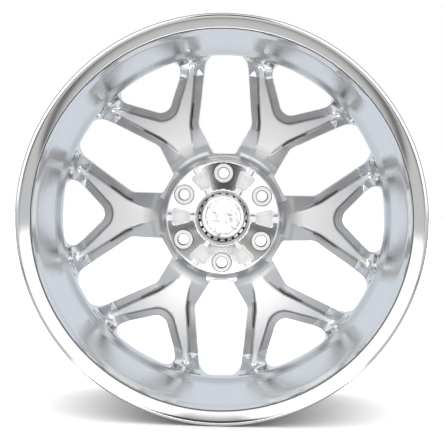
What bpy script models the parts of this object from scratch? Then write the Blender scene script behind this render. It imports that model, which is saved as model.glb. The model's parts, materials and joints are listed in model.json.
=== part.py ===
"""Forged six-lug racing wheel rim, 22 x 10 inches, offset -18 mm.

Frame: origin at the wheel's centre, +Y along the spin axis towards the street side, +Z up.
Axial places are written as a depth: the distance from the inboard flange edge towards the street side.
"""

import math

import bmesh
import bpy
from mathutils import Matrix, Vector

MM = 0.001

# Driving dimensions, in millimetres.
OVERALL_WIDTH = 279.4
OFFSET = -18.0
FLANGE_RADIUS = 299.3
BEAD_SEAT_RADIUS = 281.8
FLANGE_WIDTH = 12.7
LUG_COUNT = 6
LUG_CIRCLE_RADIUS = 69.85
BORE_RADIUS = 39.05
PAD_RADIUS = 86.8
GAP = 0.3

# The centre's outer ring, the windows' outer edge in it, and the barrel's well beside it.
RING_OUTER = 268.0
RING_FRONT = 210.0
WINDOW_OUTER = 264.2
WELL_INNER = 256.0
WELL_OUTER = 261.8
WELL_END = 158.0
SEAT_START = 176.0

# Valve: its angle round the wheel, and its tilt from the spin axis towards the hub.
VALVE_ANGLE = math.radians(75.0)
VALVE_TILT = math.radians(60.0)
VALVE_WALL_RADIUS = 272.47
VALVE_WALL_DEPTH = 226.9
VALVE_HOLE_RADIUS = 5.8

# Facets of the turned parts. A flat of the flange lies at the bottom, where the wheel stands.
SEGMENTS = 48
SMALL_SEGMENTS = 20
FACET_FIT = 1.0 / math.cos(math.pi / SEGMENTS)

PAD_DEPTH = OVERALL_WIDTH / 2 + OFFSET
MERGE = 0.00001


def axial(depth):
    """Y of a depth behind the inboard flange edge."""
    return (depth - OVERALL_WIDTH / 2) * MM


# ---------------------------------------------------------------- materials


def metal(name, colour, roughness, metallic=1.0):
    """A plain material, which is a metal unless metallic is 0."""
    material = bpy.data.materials.new(name)
    material.use_nodes = True
    shader = material.node_tree.nodes["Principled BSDF"]
    shader.inputs["Base Color"].default_value = (*colour, 1.0)
    shader.inputs["Roughness"].default_value = roughness
    shader.inputs["Metallic"].default_value = metallic
    material.diffuse_color = (*colour, 1.0)
    return material


def make_materials():
    """The materials by short name."""
    return {
        "polished": metal("polished_aluminium", (0.80, 0.81, 0.83), 0.12),
        "forged": metal("forged_aluminium", (0.66, 0.67, 0.68), 0.35),
        "chrome": metal("chrome", (0.83, 0.84, 0.86), 0.06),
        "steel": metal("zinc_steel", (0.74, 0.74, 0.72), 0.3),
        "spring": metal("spring_steel", (0.5, 0.5, 0.5), 0.35),
        "brass": metal("brass", (0.78, 0.62, 0.30), 0.3),
        "rubber": metal("rubber", (0.03, 0.03, 0.03), 0.8, metallic=0.0),
    }


# ---------------------------------------------------------------- shape helpers


def finish_object(name, mesh_data, material=None, is_cutter=False):
    """Puts a bmesh into the scene as one named object, shaded smooth with sharp edges kept."""
    bmesh.ops.remove_doubles(mesh_data, verts=mesh_data.verts, dist=MERGE)
    bmesh.ops.recalc_face_normals(mesh_data, faces=mesh_data.faces)
    mesh = bpy.data.meshes.new(name)
    mesh_data.to_mesh(mesh)
    mesh_data.free()
    obj = bpy.data.objects.new(name, mesh)
    bpy.context.scene.collection.objects.link(obj)
    if is_cutter:
        obj.hide_render = True
        obj.display_type = "WIRE"
    else:
        mesh.materials.append(material)
        mesh.shade_smooth()
        mesh.set_sharp_from_angle(angle=math.radians(30))
    return obj


def turned_bmesh(profile, segments, place, fit=1.0):
    """Spins a closed profile of (radius, axial) pairs, in millimetres, round the Y axis.

    place maps an axial millimetre value to metres along Y. The first facet is centred on +X.
    """
    made = bmesh.new()
    start = math.pi / segments
    ring = [
        made.verts.new((r * fit * MM * math.cos(start), place(a), r * fit * MM * math.sin(start)))
        for r, a in profile
    ]
    edges = [
        made.edges.new((ring[i - 1], ring[i]))
        for i in range(len(ring))
        if profile[i - 1][0] > 0 or profile[i][0] > 0
    ]
    bmesh.ops.spin(
        made,
        geom=edges + ring,
        cent=(0, 0, 0),
        axis=(0, 1, 0),
        dvec=(0, 0, 0),
        angle=math.tau,
        steps=segments,
        use_merge=True,
    )
    return made


def turned(name, profile, material=None, segments=SEGMENTS, fit=FACET_FIT, is_cutter=False):
    """A turned piece on the wheel's own axis, from a profile of (radius, depth) pairs."""
    return finish_object(name, turned_bmesh(profile, segments, axial, fit), material, is_cutter)


def rounded(corners, steps=3):
    """A closed outline from (x, z, radius) corners, each rounded by an arc of that radius."""
    outline = []
    for i, (x, z, radius) in enumerate(corners):
        here = Vector((x, z))
        if radius <= 0:
            outline.append(here)
            continue
        before = (Vector(corners[i - 1][:2]) - here).normalized()
        after = (Vector(corners[(i + 1) % len(corners)][:2]) - here).normalized()
        half = before.angle(after) / 2
        centre = here + (before + after).normalized() * (radius / math.sin(half))
        first = here + before * (radius / math.tan(half)) - centre
        last = here + after * (radius / math.tan(half)) - centre
        turn = first.angle_signed(last)
        for k in range(steps + 1):
            outline.append(centre + Matrix.Rotation(-turn * k / steps, 2) @ first)
    return outline


def mirrored(right_side):
    """A closed set of corners from those at x >= 0, listed from the bottom upwards."""
    left_side = [(-x, z, radius) for x, z, radius in reversed(right_side) if x > 0]
    return list(right_side) + left_side


def prisms(name, outline, angles, depth_from, depth_to, end_scale=1.0):
    """Prisms along the spin axis, one at each angle, joined as one cutter.

    The outline is drawn with the radial direction up. end_scale shrinks the far end about its
    middle, for walls with draft.
    """
    made = bmesh.new()
    middle = sum(outline, Vector((0, 0))) / len(outline)
    for angle in angles:
        turn = Matrix.Rotation(angle - math.pi / 2, 2)
        rings = []
        for depth, scale in ((depth_from, 1.0), (depth_to, end_scale)):
            points = [turn @ (middle + (p - middle) * scale) for p in outline]
            rings.append([made.verts.new((p.x * MM, axial(depth), p.y * MM)) for p in points])
        near, far = rings
        made.faces.new(near)
        made.faces.new(far)
        for i in range(len(outline)):
            made.faces.new((near[i - 1], near[i], far[i], far[i - 1]))
    return finish_object(name, made, is_cutter=True)


def cut(target, cutter, operation="DIFFERENCE"):
    """Applies a Boolean at once and removes the cutter."""
    modifier = target.modifiers.new("cut", "BOOLEAN")
    modifier.object = cutter
    modifier.operation = operation
    modifier.solver = "EXACT"
    bpy.context.view_layer.update()
    graph = bpy.context.evaluated_depsgraph_get()
    result = bpy.data.meshes.new_from_object(target.evaluated_get(graph))
    target.modifiers.clear()
    cleaned = bmesh.new()
    cleaned.from_mesh(result)
    bmesh.ops.remove_doubles(cleaned, verts=cleaned.verts, dist=MERGE)
    bmesh.ops.dissolve_degenerate(cleaned, edges=cleaned.edges, dist=MERGE)
    cleaned.to_mesh(result)
    cleaned.free()
    target.data = result
    bpy.data.objects.remove(cutter)


def around(count, first=0.0):
    """Equally spaced angles round the wheel."""
    return [first + math.tau * i / count for i in range(count)]


SPOKE_ANGLES = around(LUG_COUNT)
LUG_ANGLES = around(LUG_COUNT, math.pi / 6)

# ---------------------------------------------------------------- the rim


def flange_corners(edge, inwards):
    """One flange lip, from its inner crease over the nose to the bead seat, as (radius, depth).

    edge is the depth of the flange's edge, and inwards is +1 or -1, towards the rim's middle.
    """
    shape = [
        (276.4, 19.5),
        (278.0, 15.5),
        (289.4, 1.7),
        (291.5, 0.0),
        (294.5, 0.0),
        (298.2, 1.6),
        (FLANGE_RADIUS, 5.0),
        (297.4, 10.0),
        (292.0, FLANGE_WIDTH),
        (285.5, FLANGE_WIDTH + 0.3),
        (BEAD_SEAT_RADIUS, FLANGE_WIDTH + 5.0),
    ]
    return [(radius, edge + inwards * depth) for radius, depth in shape]


def make_barrel(materials):
    """The rolled rim: two flanges, bead seats and humps, a well, and the seat for the centre."""
    inboard_lip = flange_corners(0.0, 1)
    street_lip = flange_corners(OVERALL_WIDTH, -1)
    tyre_side = [
        (280.5, 34.5),
        (281.6, 39.0),
        (278.6, 46.0),
        (269.4, 127.0),
        (WELL_OUTER, 138.0),
        (WELL_OUTER, 162.0),
        (272.3, 180.0),
        (272.3, 216.6),
        (281.3, 232.2),
        (281.6, 243.6),
        (280.8, 248.0),
    ]
    hub_side = [
        (277.0, 234.7),
        (266.5, 216.5),
        (266.0, RING_FRONT + GAP),
        (RING_OUTER + GAP, RING_FRONT + GAP),
        (RING_OUTER + GAP, SEAT_START),
        (WELL_INNER, WELL_END),
        (WELL_INNER, 152.0),
        (257.0, 146.5),
        (263.6, 131.0),
        (264.4, 127.0),
    ]
    profile = inboard_lip + tyre_side + list(reversed(street_lip)) + hub_side
    barrel = turned("rim_barrel", profile, materials["polished"])
    hole = on_valve_axis(
        "valve_hole_cutter", [(0, -20), (VALVE_HOLE_RADIUS, -20), (VALVE_HOLE_RADIUS, 12), (0, 12)]
    )
    cut(barrel, hole)
    return barrel


# ---------------------------------------------------------------- the forged centre


def dish_profile():
    """The centre's section at rib level, before the windows and the bands beside the ribs."""
    rear = [
        (BORE_RADIUS, PAD_DEPTH + 3.7),
        (BORE_RADIUS + 3.7, PAD_DEPTH),
        (PAD_RADIUS, PAD_DEPTH),
        (88.6, 123.6),
        (93.0, 142.0),
        (97.0, 150.0),
        (104.0, 154.6),
        (130.0, 162.0),
        (236.0, 188.5),
        (245.0, 186.5),
        (251.5, 177.5),
        (WELL_INNER - 1.2, WELL_END),
        (WELL_INNER - GAP, WELL_END + GAP),
        (RING_OUTER, SEAT_START + GAP),
    ]
    front = [
        (RING_OUTER, RING_FRONT),
        (258.0, RING_FRONT),
        (248.0, 213.0),
        (236.0, 213.0),
        (150.0, 195.5),
        (100.0, 179.0),
        (86.0, 172.5),
        (BORE_RADIUS, 172.5),
    ]
    return rear + front


def band_floor_profile():
    """The space behind the bands: its deep side is the bands' surface and the ramp to the ring."""
    return [
        (110.0, 100.0),
        (110.0, 154.0),
        (150.0, 180.0),
        (232.0, 201.5),
        (252.5, 176.0),
        (252.5, 100.0),
    ]


def window_arc(x):
    """Height of the windows' outer edge at a place across."""
    return math.sqrt(WINDOW_OUTER**2 - x**2)


def large_window():
    """The long window between two spokes."""
    return rounded(
        mirrored(
            [
                (17.0, 101.5, 7.0),
                (42.8, 146.0, 24.0),
                (34.6, 250.0, 30.0),
                (21.0, window_arc(21.0), 14.0),
                (0.0, WINDOW_OUTER, 0.0),
            ]
        )
    )


def fork_window():
    """The three-cornered window inside a spoke's fork."""
    return rounded(
        mirrored(
            [
                (0.0, 186.0, 18.0),
                (69.0, 255.0, 15.0),
                (30.0, window_arc(30.0), 0.0),
                (0.0, WINDOW_OUTER, 0.0),
            ]
        )
    )


def large_band():
    """The sunk band round a long window, out to the foot of the ribs beside it."""
    return rounded(
        mirrored(
            [
                (47.7, 96.9, 0.0),
                (56.3, 140.2, 30.0),
                (51.0, 200.0, 0.0),
                (48.4, 262.0, 0.0),
            ]
        )
    )


def fork_band():
    """The sunk band round a fork window."""
    return rounded(
        mirrored(
            [
                (0.0, 169.7, 22.0),
                (66.0, 235.7, 10.0),
                (76.5, 251.5, 0.0),
                (40.0, 275.0, 0.0),
            ]
        )
    )


def pad_pocket():
    """The relief pocket between two lug holes."""
    return rounded([(5.6, 52.0, 1.5), (13.2, 76.0, 2.0), (-13.2, 76.0, 2.0), (-5.6, 52.0, 1.5)], 1)


def box_outline(half_width, low, high):
    """A rectangle that is centred on x = 0."""
    corners = ((half_width, low), (half_width, high), (-half_width, high), (-half_width, low))
    return [Vector(corner) for corner in corners]


def lug_bores():
    """The stepped hole for a lug seat insert, with the nut's well on the street side."""
    made = bmesh.new()
    profile = [
        (0.0, 110.0),
        (15.6, 110.0),
        (15.6, PAD_DEPTH + 3.6),
        (12.8, PAD_DEPTH + 3.6),
        (12.8, 146.0),
        (16.5, 146.0),
        (18.5, 200.0),
        (0.0, 200.0),
    ]
    for angle in LUG_ANGLES:
        bore = turned_bmesh(profile, SMALL_SEGMENTS, axial)
        shift = Vector((math.cos(angle), 0, math.sin(angle))) * LUG_CIRCLE_RADIUS * MM
        bmesh.ops.translate(bore, verts=bore.verts, vec=shift)
        helper = bpy.data.meshes.new("bore")
        bore.to_mesh(helper)
        bore.free()
        made.from_mesh(helper)
        bpy.data.meshes.remove(helper)
    return finish_object("lug_bore_cutter", made, is_cutter=True)


def make_centre(materials):
    """Hub, six forked spokes with ribs on their backs, and the outer ring, as one forging."""
    centre = turned("wheel_centre", dish_profile(), materials["forged"])
    cut(centre, prisms("large_window_cutter", large_window(), LUG_ANGLES, 145.0, 240.0))
    cut(centre, prisms("fork_window_cutter", fork_window(), SPOKE_ANGLES, 145.0, 240.0))
    for outline, angles in ((large_band(), LUG_ANGLES), (fork_band(), SPOKE_ANGLES)):
        floor = turned("band_floor_cutter", band_floor_profile(), is_cutter=True)
        cut(floor, prisms("band_cutter", outline, angles, 90.0, 215.0), "INTERSECT")
        cut(centre, floor)
    scallop = box_outline(22.5, 90.5, 120.0)
    cut(centre, prisms("scallop_cutter", scallop, LUG_ANGLES, 110.0, 143.0))
    cut(centre, prisms("pocket_cutter", pad_pocket(), SPOKE_ANGLES, 115.0, 134.0, end_scale=0.72))
    groove = box_outline(3.0, 30.0, 96.0)
    cut(centre, prisms("groove_cutter", groove, SPOKE_ANGLES, 115.0, PAD_DEPTH + 2.6))
    cut(centre, lug_bores())
    centre.data.materials.clear()
    centre.data.materials.append(materials["forged"])
    return centre


def make_lug_inserts(materials):
    """Steel seats for the wheel nuts, each with a flange at the pad and a cone on the street side."""
    profile = [
        (8.4, PAD_DEPTH + 0.2),
        (14.6, PAD_DEPTH + 0.2),
        (15.3, PAD_DEPTH + 0.9),
        (15.3, PAD_DEPTH + GAP + 3.0),
        (12.5, PAD_DEPTH + GAP + 3.0),
        (12.5, 145.5),
        (12.0, 146.0),
        (8.4, 139.8),
    ]
    for i, angle in enumerate(LUG_ANGLES):
        insert = turned(f"lug_seat_insert_{i + 1}", profile, materials["steel"], SMALL_SEGMENTS, 1.0)
        insert.location = Vector((math.cos(angle), 0, math.sin(angle))) * LUG_CIRCLE_RADIUS * MM


# ---------------------------------------------------------------- centre cap

CAP_FINGERS = 20
CAP_SEGMENTS = 40


def make_cap(materials):
    """A snap-in centre cap: dished shell with spring fingers, emblem disc, spring ring and seal."""
    shell_profile = [
        (0.0, 179.0),
        (26.0, 177.4),
        (33.5, 174.0),
        (35.4, 170.0),
        (35.4, 152.0),
        (35.0, 149.0),
        (37.0, 148.0),
        (38.5, 151.5),
        (37.6, 154.5),
        (37.6, 175.2),
        (42.6, 175.2),
        (43.4, 174.0),
        (45.6, 174.0),
        (46.0, 176.2),
        (38.5, 181.6),
        (31.2, 183.6),
        (30.8, 182.4),
        (0.0, 182.4),
    ]
    shell = turned("cap_shell", shell_profile, materials["chrome"], CAP_SEGMENTS, 1.0)
    slot = box_outline(1.6, -45.0, 45.0)
    for angle in around(CAP_FINGERS, math.pi / CAP_FINGERS)[: CAP_FINGERS // 2]:
        cut(shell, prisms("slot_cutter", slot, [angle], 140.0, 163.0))
    turned(
        "cap_emblem_disc",
        [(0.0, 182.7), (30.0, 182.7), (30.0, 183.6), (28.5, 184.2), (0.0, 184.9)],
        materials["polished"],
        CAP_SEGMENTS,
        1.0,
    )
    wire_ring("cap_spring_ring", 34.2, 0.8, 159.0, materials["spring"])
    wire_ring("cap_seal_ring", 41.6, 0.9, 173.9, materials["rubber"])


def wire_ring(name, radius, wire_radius, depth, material, sides=6):
    """A closed ring of round wire on the wheel's axis."""
    circle = around(sides)
    profile = [
        (radius + wire_radius * math.cos(a), depth + wire_radius * math.sin(a)) for a in circle
    ]
    return turned(name, profile, material, 32, 1.0)


# ---------------------------------------------------------------- valve


def valve_frame():
    """Matrix that takes the valve's own Y axis to its place, with its origin on the rim wall."""
    outwards = Vector((math.cos(VALVE_ANGLE), 0, math.sin(VALVE_ANGLE)))
    along = Vector((0, 1, 0)) * math.cos(VALVE_TILT) - outwards * math.sin(VALVE_TILT)
    across = Vector((0, 1, 0)) * math.sin(VALVE_TILT) + outwards * math.cos(VALVE_TILT)
    side = across.cross(along)
    origin = outwards * VALVE_WALL_RADIUS * MM + Vector((0, axial(VALVE_WALL_DEPTH), 0))
    basis = Matrix((across, along, side)).transposed().to_4x4()
    return Matrix.Translation(origin) @ basis


def on_valve_axis(name, profile, material=None, segments=SMALL_SEGMENTS):
    """A turned piece on the valve's axis, from (radius, height) pairs above the rim wall."""
    made = turned_bmesh(profile, segments, lambda height: height * MM)
    piece = finish_object(name, made, material, is_cutter=material is None)
    piece.matrix_world = valve_frame()
    return piece


def make_valve(materials):
    """A clamp-in metal tyre valve: stem, grommets, washer, nut, core and dust cap."""
    stem = [
        (8.2, -10.5),
        (8.2, -8.1),
        (5.3, -8.1),
        (5.3, 9.2),
        (3.9, 10.6),
        (3.9, 29.6),
        (3.5, 30.0),
        (2.7, 30.0),
        (2.7, 12.4),
        (1.6, 11.4),
        (1.6, -10.5),
    ]
    on_valve_axis("valve_stem", stem, materials["chrome"])
    inner_grommet = [(5.7, -7.8), (8.1, -7.8), (8.4, -6.6), (8.1, -5.3), (5.7, -5.3)]
    on_valve_axis("valve_inner_grommet", inner_grommet, materials["rubber"])
    outer_grommet = [(5.7, 0.3), (8.2, 0.3), (8.4, 1.4), (8.1, 2.5), (5.7, 2.5)]
    on_valve_axis("valve_outer_grommet", outer_grommet, materials["rubber"])
    washer = [(5.7, 2.8), (8.0, 2.8), (8.0, 3.8), (5.7, 3.8)]
    on_valve_axis("valve_washer", washer, materials["steel"])
    nut = on_valve_axis("valve_nut", [(0, 4.1), (8.3, 4.1), (8.3, 8.6), (0, 8.6)], materials["chrome"], 6)
    cut(nut, on_valve_axis("nut_bore_cutter", [(0, 0), (5.7, 0), (5.7, 15), (0, 15)]))
    core_body = [
        (2.4, 16.0),
        (2.4, 29.0),
        (1.75, 29.0),
        (1.75, 20.0),
        (0.9, 20.0),
        (0.9, 16.0),
    ]
    on_valve_axis("valve_core_body", core_body, materials["brass"], 16)
    pin = [
        (0.0, 13.0),
        (1.5, 13.0),
        (1.5, 13.9),
        (0.5, 13.9),
        (0.5, 26.5),
        (1.5, 26.5),
        (1.5, 27.1),
        (0.5, 27.1),
        (0.5, 29.4),
        (0.0, 29.6),
    ]
    on_valve_axis("valve_core_pin", pin, materials["brass"], 12)
    plunger = [(0.75, 14.15), (1.9, 14.15), (1.9, 15.5), (0.75, 15.5)]
    on_valve_axis("valve_plunger_seal", plunger, materials["rubber"], 16)
    make_core_spring(materials)
    dust_cap = [
        (4.2, 18.0),
        (5.3, 18.0),
        (5.3, 32.2),
        (4.2, 33.6),
        (0.0, 33.8),
        (0.0, 31.8),
        (4.2, 31.8),
    ]
    on_valve_axis("valve_dust_cap", dust_cap, materials["chrome"])
    gasket = [(1.6, 30.3), (3.9, 30.3), (3.9, 31.5), (1.6, 31.5)]
    on_valve_axis("dust_cap_gasket", gasket, materials["rubber"], 16)


def make_core_spring(materials):
    """The coil that returns the valve's pin, round the pin inside the core body."""
    turns, per_turn, radius, low, high = 4, 10, 1.15, 20.5, 26.1
    points = []
    for i in range(turns * per_turn + 1):
        angle = math.tau * i / per_turn
        height = low + (high - low) * i / (turns * per_turn)
        points.append((radius * math.cos(angle), height, radius * math.sin(angle)))
    curve = bpy.data.curves.new("valve_core_spring", "CURVE")
    curve.dimensions = "3D"
    curve.bevel_depth = 0.22 * MM
    curve.bevel_resolution = 0
    curve.use_fill_caps = True
    spline = curve.splines.new("POLY")
    spline.points.add(len(points) - 1)
    for spline_point, point in zip(spline.points, points):
        spline_point.co = (*(Vector(point) * MM), 1.0)
    curve.materials.append(materials["spring"])
    spring = bpy.data.objects.new("valve_core_spring", curve)
    bpy.context.scene.collection.objects.link(spring)
    spring.matrix_world = valve_frame()


def main():
    """Empties the scene and models every part."""
    for obj in list(bpy.data.objects):
        bpy.data.objects.remove(obj)
    materials = make_materials()
    make_barrel(materials)
    make_centre(materials)
    make_lug_inserts(materials)
    make_cap(materials)
    make_valve(materials)


main()
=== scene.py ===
"""Looks of a forged and polished six-lug wheel rim, with its centre cap, nut seats and tyre valve.

The wheel spins about +Y, which points to the street side, and +Z is up. Sizes here are in
millimetres. Places along the spin axis are depths: distances from the inboard flange edge towards
the street side.
"""

from __future__ import annotations

import json
import logging
import math
from dataclasses import dataclass
from enum import Enum
from typing import Callable, Sequence, Union

import bmesh
import bpy
import numpy as np
from mathutils import Matrix, Vector, noise
from mathutils.geometry import delaunay_2d_cdt
from mathutils.kdtree import KDTree


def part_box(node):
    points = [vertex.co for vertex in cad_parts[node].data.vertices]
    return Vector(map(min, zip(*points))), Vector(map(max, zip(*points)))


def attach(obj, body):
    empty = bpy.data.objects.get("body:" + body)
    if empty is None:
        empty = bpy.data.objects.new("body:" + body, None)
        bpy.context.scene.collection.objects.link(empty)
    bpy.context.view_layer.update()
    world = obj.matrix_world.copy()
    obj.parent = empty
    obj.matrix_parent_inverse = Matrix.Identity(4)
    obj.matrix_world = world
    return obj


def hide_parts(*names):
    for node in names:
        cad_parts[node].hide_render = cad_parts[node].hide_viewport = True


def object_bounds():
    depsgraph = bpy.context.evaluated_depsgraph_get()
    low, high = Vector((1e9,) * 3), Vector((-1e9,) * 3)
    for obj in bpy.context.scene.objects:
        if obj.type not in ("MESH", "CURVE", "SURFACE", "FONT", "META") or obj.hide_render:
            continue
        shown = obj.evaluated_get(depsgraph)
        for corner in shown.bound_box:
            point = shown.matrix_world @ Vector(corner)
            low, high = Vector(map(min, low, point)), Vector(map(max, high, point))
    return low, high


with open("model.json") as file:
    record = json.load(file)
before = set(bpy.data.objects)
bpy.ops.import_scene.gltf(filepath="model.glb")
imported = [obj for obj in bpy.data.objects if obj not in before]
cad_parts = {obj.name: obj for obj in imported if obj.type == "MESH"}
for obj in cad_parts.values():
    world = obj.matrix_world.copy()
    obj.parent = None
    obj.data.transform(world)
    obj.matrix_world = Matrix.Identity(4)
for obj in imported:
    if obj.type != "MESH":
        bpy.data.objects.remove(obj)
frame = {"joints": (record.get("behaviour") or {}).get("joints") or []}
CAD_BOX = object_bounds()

LOG = logging.getLogger("wheel")
MM = 0.001
NEAR = 0.00002

Corner = tuple[float, float, float]
Point = tuple[float, float]
Colour = tuple[float, float, float]
Span = tuple[float, float]

WIDTH = (CAD_BOX[1][1] - CAD_BOX[0][1]) / MM
FLANGE_RADIUS = (CAD_BOX[1][2] - CAD_BOX[0][2]) / 2 / MM
FLOOR_Z = CAD_BOX[0][2]


def axial(depth: float) -> float:
    """Y in metres of a depth in millimetres."""
    return CAD_BOX[0][1] + depth * MM


def depth_of(node: str) -> float:
    """Depth in millimetres of a CAD node's inboard end."""
    return (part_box(node)[0][1] - CAD_BOX[0][1]) / MM


class Body(Enum):
    """The rigid bodies that pieces ride on."""

    WHEEL = "wheel"
    CENTRE_CAP = "centre_cap"
    DUST_CAP = "dust_cap"
    VALVE_PIN = "valve_pin"


# ---------------------------------------------------------------- shader expressions


class Wire:
    """A shader socket that Python's operators work on, through Math nodes."""

    def __init__(self, tree: bpy.types.NodeTree, socket: bpy.types.NodeSocket) -> None:
        """Wraps one output socket of a node tree.

        Args:
            tree: the node tree.
            socket: an output socket in it.
        """
        self.tree = tree
        self.socket = socket

    def math(self, operation: str, *others: Union[Wire, float]) -> Wire:
        """Adds a Math node that works on this wire.

        Args:
            operation: the node's operation.
            others: its further inputs in order, as wires or numbers.

        Returns:
            The node's result.
        """
        node = self.tree.nodes.new("ShaderNodeMath")
        node.operation = operation
        for slot, value in zip(node.inputs, (self, *others)):
            if isinstance(value, Wire):
                self.tree.links.new(value.socket, slot)
            else:
                slot.default_value = value
        return Wire(self.tree, node.outputs[0])

    def __add__(self, other: Union[Wire, float]) -> Wire:
        """Sum."""
        return self.math("ADD", other)

    __radd__ = __add__

    def __sub__(self, other: Union[Wire, float]) -> Wire:
        """Difference."""
        return self.math("SUBTRACT", other)

    def __rsub__(self, other: float) -> Wire:
        """Difference from a number."""
        return self.math("MULTIPLY_ADD", -1.0, other)

    def __mul__(self, other: Union[Wire, float]) -> Wire:
        """Product."""
        return self.math("MULTIPLY", other)

    __rmul__ = __mul__

    def __truediv__(self, other: Union[Wire, float]) -> Wire:
        """Quotient."""
        return self.math("DIVIDE", other)

    def __pow__(self, other: float) -> Wire:
        """Power."""
        return self.math("POWER", other)

    def over(self, low: float, high: float) -> Wire:
        """A smooth step from 0 at low to 1 at high, where low may be the larger."""
        node = self.tree.nodes.new("ShaderNodeMapRange")
        node.interpolation_type = "SMOOTHSTEP"
        for name, value in (("From Min", low), ("From Max", high)):
            node.inputs[name].default_value = value
        self.tree.links.new(self.socket, node.inputs["Value"])
        return Wire(self.tree, node.outputs["Result"])

    def hill(self, middle: float, reach: float) -> Wire:
        """A smooth hill from 0 to 1 round a value."""
        away = (self - middle) / reach
        return (away * away * -1.0).math("EXPONENT")


Input = Union[Wire, float, Colour, tuple]


class Shader:
    """The node tree of one material or of the world."""

    def __init__(self, tree: bpy.types.NodeTree) -> None:
        """Starts from an empty tree.

        Args:
            tree: the tree to fill.
        """
        self.tree = tree
        tree.nodes.clear()

    def add(
        self,
        kind: str,
        settings: dict[str, object] | None = None,
        inputs: dict[str, Input] | None = None,
        output: Union[str, int] = 0,
    ) -> Wire | None:
        """Adds any node.

        Args:
            kind: the node's type.
            settings: its own settings, which are set first.
            inputs: values or wires for its sockets, by name.
            output: which output to return.

        Returns:
            That output, or None from a node that has none.
        """
        node = self.tree.nodes.new(kind)
        for name, value in (settings or {}).items():
            setattr(node, name, value)
        for name, value in (inputs or {}).items():
            slot = node.inputs[name]
            if isinstance(value, Wire):
                self.tree.links.new(value.socket, slot)
            else:
                slot.default_value = value
        return Wire(self.tree, node.outputs[output]) if len(node.outputs) else None

    def split(self, vector: Wire) -> tuple[Wire, Wire, Wire]:
        """The three components of a vector."""
        node = self.tree.nodes.new("ShaderNodeSeparateXYZ")
        self.tree.links.new(vector.socket, node.inputs[0])
        return tuple(Wire(self.tree, node.outputs[i]) for i in range(3))

    def place(self) -> Wire:
        """Object coordinates, which are the wheel's own frame in metres."""
        return self.add("ShaderNodeTexCoord", output="Object")

    def marked(self, name: str) -> Wire:
        """The share that a piece's own attribute gives each point."""
        return self.add("ShaderNodeAttribute", {"attribute_name": name}, output="Fac")

    def join(self, x: Input, y: Input, z: Input) -> Wire:
        """A vector of three components."""
        return self.add("ShaderNodeCombineXYZ", inputs={"X": x, "Y": y, "Z": z})

    def noise(self, vector: Wire, scale: float, detail: float = 2.0) -> Wire:
        """Noise from 0 to 1."""
        return self.add(
            "ShaderNodeTexNoise", inputs={"Vector": vector, "Scale": scale, "Detail": detail}
        )

    def scaled(self, colour: Colour, factor: Wire) -> Wire:
        """A colour times a wire."""
        node = self.tree.nodes.new("ShaderNodeVectorMath")
        node.operation = "SCALE"
        node.inputs[0].default_value = colour
        self.tree.links.new(factor.socket, node.inputs["Scale"])
        return Wire(self.tree, node.outputs[0])

    def blend(self, factor: Wire, low: Input, high: Input) -> Wire:
        """A colour between two colours.

        Args:
            factor: 0 for low, 1 for high.
            low: the first colour.
            high: the second colour.

        Returns:
            The mixed colour.
        """
        node = self.tree.nodes.new("ShaderNodeMix")
        node.data_type = "RGBA"
        self.tree.links.new(factor.socket, node.inputs["Factor"])
        for slot, value in ((node.inputs[6], low), (node.inputs[7], high)):
            if isinstance(value, Wire):
                self.tree.links.new(value.socket, slot)
            else:
                slot.default_value = (*value[:3], 1.0)
        return Wire(self.tree, node.outputs[2])


# ---------------------------------------------------------------- finishes

# colour and roughness that painted shade gives a surface
PAINTED_SHADE_COLOUR: Colour = (0.03, 0.03, 0.032)
PAINTED_SHADE_ROUGHNESS = 0.9


def new_material(name: str) -> tuple[bpy.types.Material, Shader]:
    """A new material and the tree that is to be filled in."""
    made = bpy.data.materials.new(name)
    made.use_nodes = True
    return made, Shader(made.node_tree)


@dataclass(frozen=True)
class Finish:
    """A plain finish: the base of the others."""

    name: str
    slot: str
    colour: Colour
    roughness: float
    metallic: float = 1.0
    speckle: float = 0.04
    grain_mm: float = 1.2
    grain_depth_mm: float = 0.004

    def surface(self, shader: Shader) -> dict[str, Input]:
        """The Principled inputs that vary over the piece.

        Args:
            shader: the material's tree.

        Returns:
            Values or wires by socket name.
        """
        place = shader.place()
        cloud = shader.noise(place, 22.0, 3.0)
        grain = shader.noise(place, 1.0 / (self.grain_mm * MM), 3.0)
        colour = shader.blend(cloud, self.shade(1.0 - self.speckle), self.shade(1.0))
        rough = self.roughness * (1.0 + (grain - 0.5) * 0.5 + (cloud - 0.5) * 0.4)
        normal = self.bump(shader, grain, self.grain_depth_mm)
        return {"Base Color": colour, "Roughness": rough, "Normal": normal}

    def painted_shade(self, shader: Shader) -> Wire:
        """How far painted shade makes the surface matt black: the piece's own attribute.

        Args:
            shader: the material's tree.

        Returns:
            1 where it is black.
        """
        return shader.marked("painted_shade_mark")

    def shade(self, factor: float) -> Colour:
        """The colour, darkened by a factor."""
        return tuple(c * factor for c in self.colour)

    @staticmethod
    def bump(shader: Shader, height: Wire, depth_mm: float) -> Wire:
        """A normal from a height of 0 to 1 that stands for a depth in millimetres."""
        inputs = {"Height": height, "Distance": depth_mm * MM, "Strength": 1.0}
        return shader.add("ShaderNodeBump", inputs=inputs)

    def material(self) -> bpy.types.Material:
        """Makes the material, or returns the one already made."""
        made = bpy.data.materials.get(self.name)
        if made:
            return made
        made, shader = new_material(self.name)
        inputs: dict[str, Input] = {"Metallic": self.metallic, **self.surface(shader)}
        # painted shade: where the finish's mask says, the surface turns black, rough and no longer
        # metallic
        dark = self.painted_shade(shader)
        rough = inputs["Roughness"]
        inputs["Base Color"] = shader.blend(dark, inputs["Base Color"], PAINTED_SHADE_COLOUR)
        inputs["Roughness"] = rough + (PAINTED_SHADE_ROUGHNESS - rough) * dark
        inputs["Metallic"] = (1.0 - dark) * inputs["Metallic"]
        principled = shader.add("ShaderNodeBsdfPrincipled", inputs=inputs)
        shader.add("ShaderNodeOutputMaterial", inputs={"Surface": principled})
        return made

    def dress(self, piece: bpy.types.Object) -> None:
        """Gives a piece this finish."""
        piece.data.materials.clear()
        piece.data.materials.append(self.material())


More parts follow.
